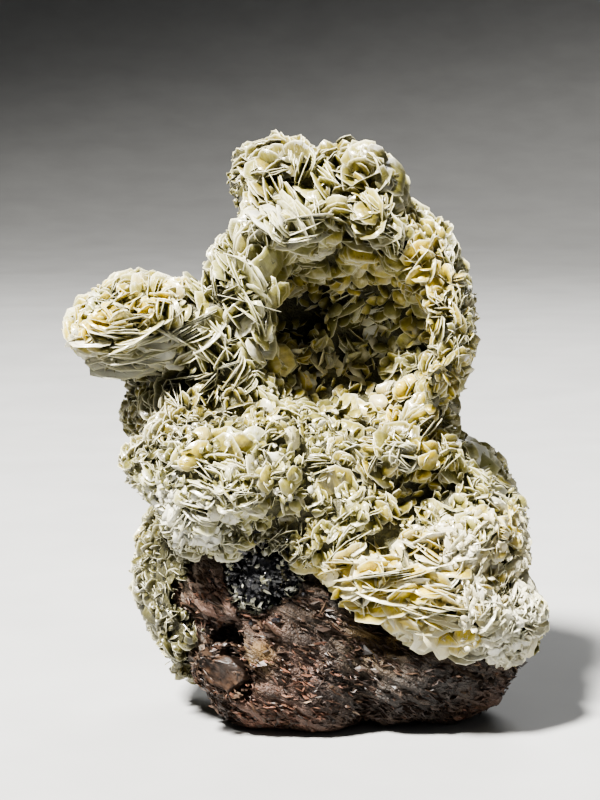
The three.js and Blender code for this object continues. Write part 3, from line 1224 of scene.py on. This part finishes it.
def rock_flakes(material, skin, count):
    """Fine splinters that lie along the layers and lift a little, with more round the quartz knob."""
    rng = np.random.default_rng(SEED + 5)
    places, normals = skin.scatter(rng, count)
    knob = Skin("smoky_quartz", KNOB_VOXEL, 1)
    quartz_rim = rim_places(knob, rng, QUARTZ_RIM_FLAKES, inner=0.5)
    places, normals = np.vstack([places, quartz_rim[0]]), np.vstack([normals, quartz_rim[1]])
    pink, dark = rock_spots(skin, places, "pink"), rock_spots(skin, places, "dark")
    pale = Waves(45, 9 * MM)(places) + 2.5 * rock_spots(skin, places, "pale")
    shapes = [Sliver(rng) for _ in range(SLIVER_SHAPES)]
    sheets = []
    for i, (place, normal) in enumerate(zip(places, normals, strict=True)):
        if place[2] < 0.8 * MM:
            continue
        along = unit(across(normal, FOLIATION) + rng.normal(0, 0.22, 3))
        on_edge = rng.random() < 0.6
        face = unit((THROUGH if on_edge else normal) + rng.normal(0, 0.45, 3))
        side = unit(np.cross(along, face))
        length = (0.6 + rng.gamma(2, 0.42)) * MM
        rosy = rng.random() < 0.02 + 0.4 * pink[i]
        # darker in the dark spots, which are partly painted shade
        tone = rng.beta(1.3, 2.0) * (1 - 0.5 * dark[i]) + 0.12 * pale[i]
        if rng.random() < 0.008:
            tone = 1.05
        sheets.append(
            Sheet(
                shape=int(rng.integers(SLIVER_SHAPES)),
                centre=place - normal * rng.uniform(0.1, 0.9) * MM,
                side=side,
                out=np.cross(face, side),
                face=face,
                width=length * (rng.uniform(0.4, 0.8) if on_edge else rng.uniform(0.15, 0.4)),
                length=length,
                thick=rng.uniform(0.12, 0.3) * MM,
                tone=tone,
                stain=rng.uniform(0.2, 0.55) if rosy else rng.uniform(0, 0.08),
            )
        )
    o = joined_sheets("rock_flakes", sheets, shapes, material)
    return finish_piece(o, "rock", "host_rock")


PRISM_RADIUS = (0.16, 0.55)  # mm
PRISM_LENGTH = (0.8, 2.6)
PRISM_SUNK = (1.0, 2.2)  # how far its foot is below the surface
PRISM_GAP, PRISM_TRIES = 0.72 * MM, 6000  # how near to each other they stand, and how many are tried
PATCH_REACH = 7.5 * MM  # how far from the patch's middle its crystals stray


def prism_points(rng, place, normal):
    """A short six-sided prism that leans any way: two rings, its foot's middle and its low peak."""
    way = unit(normal + rng.normal(0, 0.7, 3))
    u = across(way, rng.normal(size=3))
    v = np.cross(way, u)
    radius = rng.uniform(*PRISM_RADIUS) * MM
    length = rng.uniform(*PRISM_LENGTH) * MM
    foot = place - normal * rng.uniform(*PRISM_SUNK) * MM
    turn = np.arange(6)[:, None] * math.pi / 3
    ring = (u * np.cos(turn) + v * np.sin(turn)) * radius
    top = foot + way * length
    peak = foot + way * (length + radius * 0.35)
    return np.vstack([foot + ring, top + ring * 0.92, foot, peak])


def prism_faces():
    """The triangles of one prism: its six sides, then its two ends."""
    step = [(i, (i + 1) % 6) for i in range(6)]
    faces = []
    for i, k in step:
        faces += [(i, k, 6 + k), (i, 6 + k, 6 + i)]
    for i, k in step:
        faces += [(k, i, 12), (6 + i, 6 + k, 13)]
    return np.array(faces)


def tourmaline_crystals(material, patch, neighbours):
    """A heap of prisms, with strays over the rim on to the skins beside the patch."""
    rng = np.random.default_rng(SEED + 6)
    places, normals = patch.spaced(rng, lambda p: np.full(len(p), PRISM_GAP), PRISM_TRIES)
    middle = patch.points.mean(axis=0)
    for skin, count in neighbours:
        near, ways = skin.scatter(rng, count)
        away = (near - middle) @ np.diag([1.0, 1.0, 0.75])
        stray = rng.random(count) < np.exp(-((np.linalg.norm(away, axis=1) / PATCH_REACH) ** 4)) * 0.35
        places, normals = np.vstack([places, near[stray]]), np.vstack([normals, ways[stray]])
    prisms = [prism_points(rng, place, normal) for place, normal in zip(places, normals, strict=True)]
    faces = np.vstack([prism_faces() + index * len(points) for index, points in enumerate(prisms)])
    points = inside_box(np.vstack(prisms))
    o = triangles_object("tourmaline_crystals", points, faces, material, np.zeros(len(faces), bool))
    finish_piece(o, "tourmaline", "black_tourmaline")


def tourmaline_ground(material):
    """The dark mass under the prisms: the patch's CAD shape, drawn in."""
    o, points, normals = node_copy("tourmaline_ground", "black_tourmaline", voxel=0.6 * MM, smoothing=1)
    shaped(o, points - normals * 1.1 * MM, material)
    finish_piece(o, "tourmaline", "black_tourmaline")


def quartz_knob(material):
    """The knob, cut by flat faces and a little smaller than its CAD shape."""
    o, points, normals = node_copy("quartz_knob", "smoky_quartz", KNOB_VOXEL, smoothing=3)
    middle = points.mean(axis=0)
    for way in unit(np.random.default_rng(SEED + 10).normal(size=(14, 3))):
        along = (points - middle) @ way
        points -= np.maximum(along - 0.74 * along.max(), 0)[:, None] * way
    points = middle + (points - middle) * 0.9
    points -= normals * (np.abs(Waves(16, 3 * MM)(points)) * 0.35)[:, None] * MM
    points[:, 2] = np.maximum(points[:, 2], 0.2 * MM)
    shaped(o, points, material)
    finish_piece(o, "quartz", "smoky_quartz")


# ---- the studio

VIEW_ELEVATION = 8  # degrees above the horizon
VIEW_DISTANCE = 0.42  # metres from the camera to the point that it looks at
FRAME_HEIGHT = SIZE.z * 1.352  # what the picture's height takes in at the object
AIM = Vector((-0.012 * SIZE.x, 0, cad_low.z + 0.543 * SIZE.z))


def studio_camera():
    data = bpy.data.cameras.new("camera")
    data.sensor_width = 36
    data.lens = data.sensor_width * VIEW_DISTANCE / FRAME_HEIGHT
    o = link(bpy.data.objects.new("camera", data))
    tilt = math.radians(VIEW_ELEVATION)
    back = Vector((0, -math.cos(tilt), math.sin(tilt)))
    o.location = AIM + back * VIEW_DISTANCE
    o.rotation_mode = "QUATERNION"
    o.rotation_quaternion = (-back).to_track_quat("-Z", "Y")
    bpy.context.scene.camera = o


def area_light(name, way, distance, size, power, colour=(1, 1, 1), spread=180):
    """A round lamp that shines from a way on the point that the camera looks at."""
    data = bpy.data.lights.new(name, "AREA")
    data.spread = math.radians(spread)
    data.shape = "DISK"
    data.size = size
    data.energy = power
    data.color = colour
    o = link(bpy.data.objects.new(name, data))
    way = Vector(way).normalized()
    o.location = AIM + way * distance
    o.rotation_mode = "QUATERNION"
    o.rotation_quaternion = way.to_track_quat("Z", "Y")


def pale_floor():
    """A round pale floor that curves up into a low wall, so that no horizon shows."""
    n = Nodes("pale_floor")
    cloth = n.noise(n.place(), 30, 4)
    colour = n.ramp(cloth, [(0.3, (0.28, 0.28, 0.276)), (0.7, (0.31, 0.31, 0.306))])
    n.finish(Base_Color=colour, Roughness=0.9)
    flat, bend, turns = 1.0, 1.2, 72
    profile = [(flat * s, 0.0) for s in (0.25, 0.5, 0.75)]
    profile += [(flat + bend * math.sin(a), bend * (1 - math.cos(a))) for a in np.linspace(0, 1.5, 14)]
    angles = np.arange(turns) / turns * 2 * math.pi
    points = [(0.0, 0.0, 0.0)]
    points += [(r * math.cos(a), r * math.sin(a), z) for r, z in profile for a in angles]
    faces = [(0, 1 + i, 1 + (i + 1) % turns) for i in range(turns)]
    for r in range(len(profile) - 1):
        a, b = 1 + r * turns, 1 + (r + 1) * turns
        for i in range(turns):
            k = (i + 1) % turns
            faces += [(a + i, b + i, b + k), (a + i, b + k, a + k)]
    faces = np.array(faces)
    o = triangles_object("floor", np.array(points), faces, n.material, np.ones(len(faces), bool))


def studio():
    sun, sky = (1, 0.98, 0.94), (0.93, 0.96, 1)
    area_light("key", (-0.42, -0.52, 0.97), distance=2.0, size=0.34, power=34, colour=sun, spread=60)
    area_light("fill", (0.9, -0.8, 0.25), distance=0.9, size=0.7, power=0.4, colour=sky)
    area_light("rim", (0.3, 0.9, 0.8), distance=0.8, size=0.4, power=5)
    world = bpy.data.worlds.new("studio")
    world.use_nodes = True
    background = world.node_tree.nodes["Background"]
    background.inputs["Color"].default_value = (0.8, 0.81, 0.82, 1)
    background.inputs["Strength"].default_value = 0.15
    bpy.context.scene.world = world
    bpy.context.scene.view_settings.look = "AgX - Medium High Contrast"
    pale_floor()


mica_skin = Skin("mica_cluster", SKIN_VOXEL)
rock_skin = Skin("host_rock", SKIN_VOXEL, 2)
black_patch = Skin("black_tourmaline", SMALL_SKIN_VOXEL, 1)
mica_looks = Looks(mica_skin)
inner_ground = mica_ground(ground_shade_material(), mica_skin, mica_looks)
mica_crystals(mica_material(), mica_skin, mica_looks, inner_ground, black_patch)
host_rock(rock_material(), rock_skin)
rock_flakes(rock_flake_material(), rock_skin, ROCK_FLAKES)
black = tourmaline_material()
tourmaline_crystals(black, black_patch, ((mica_skin, 9000), (rock_skin, 5000)))
tourmaline_ground(black)
quartz_knob(quartz_material())
studio_camera()
studio()
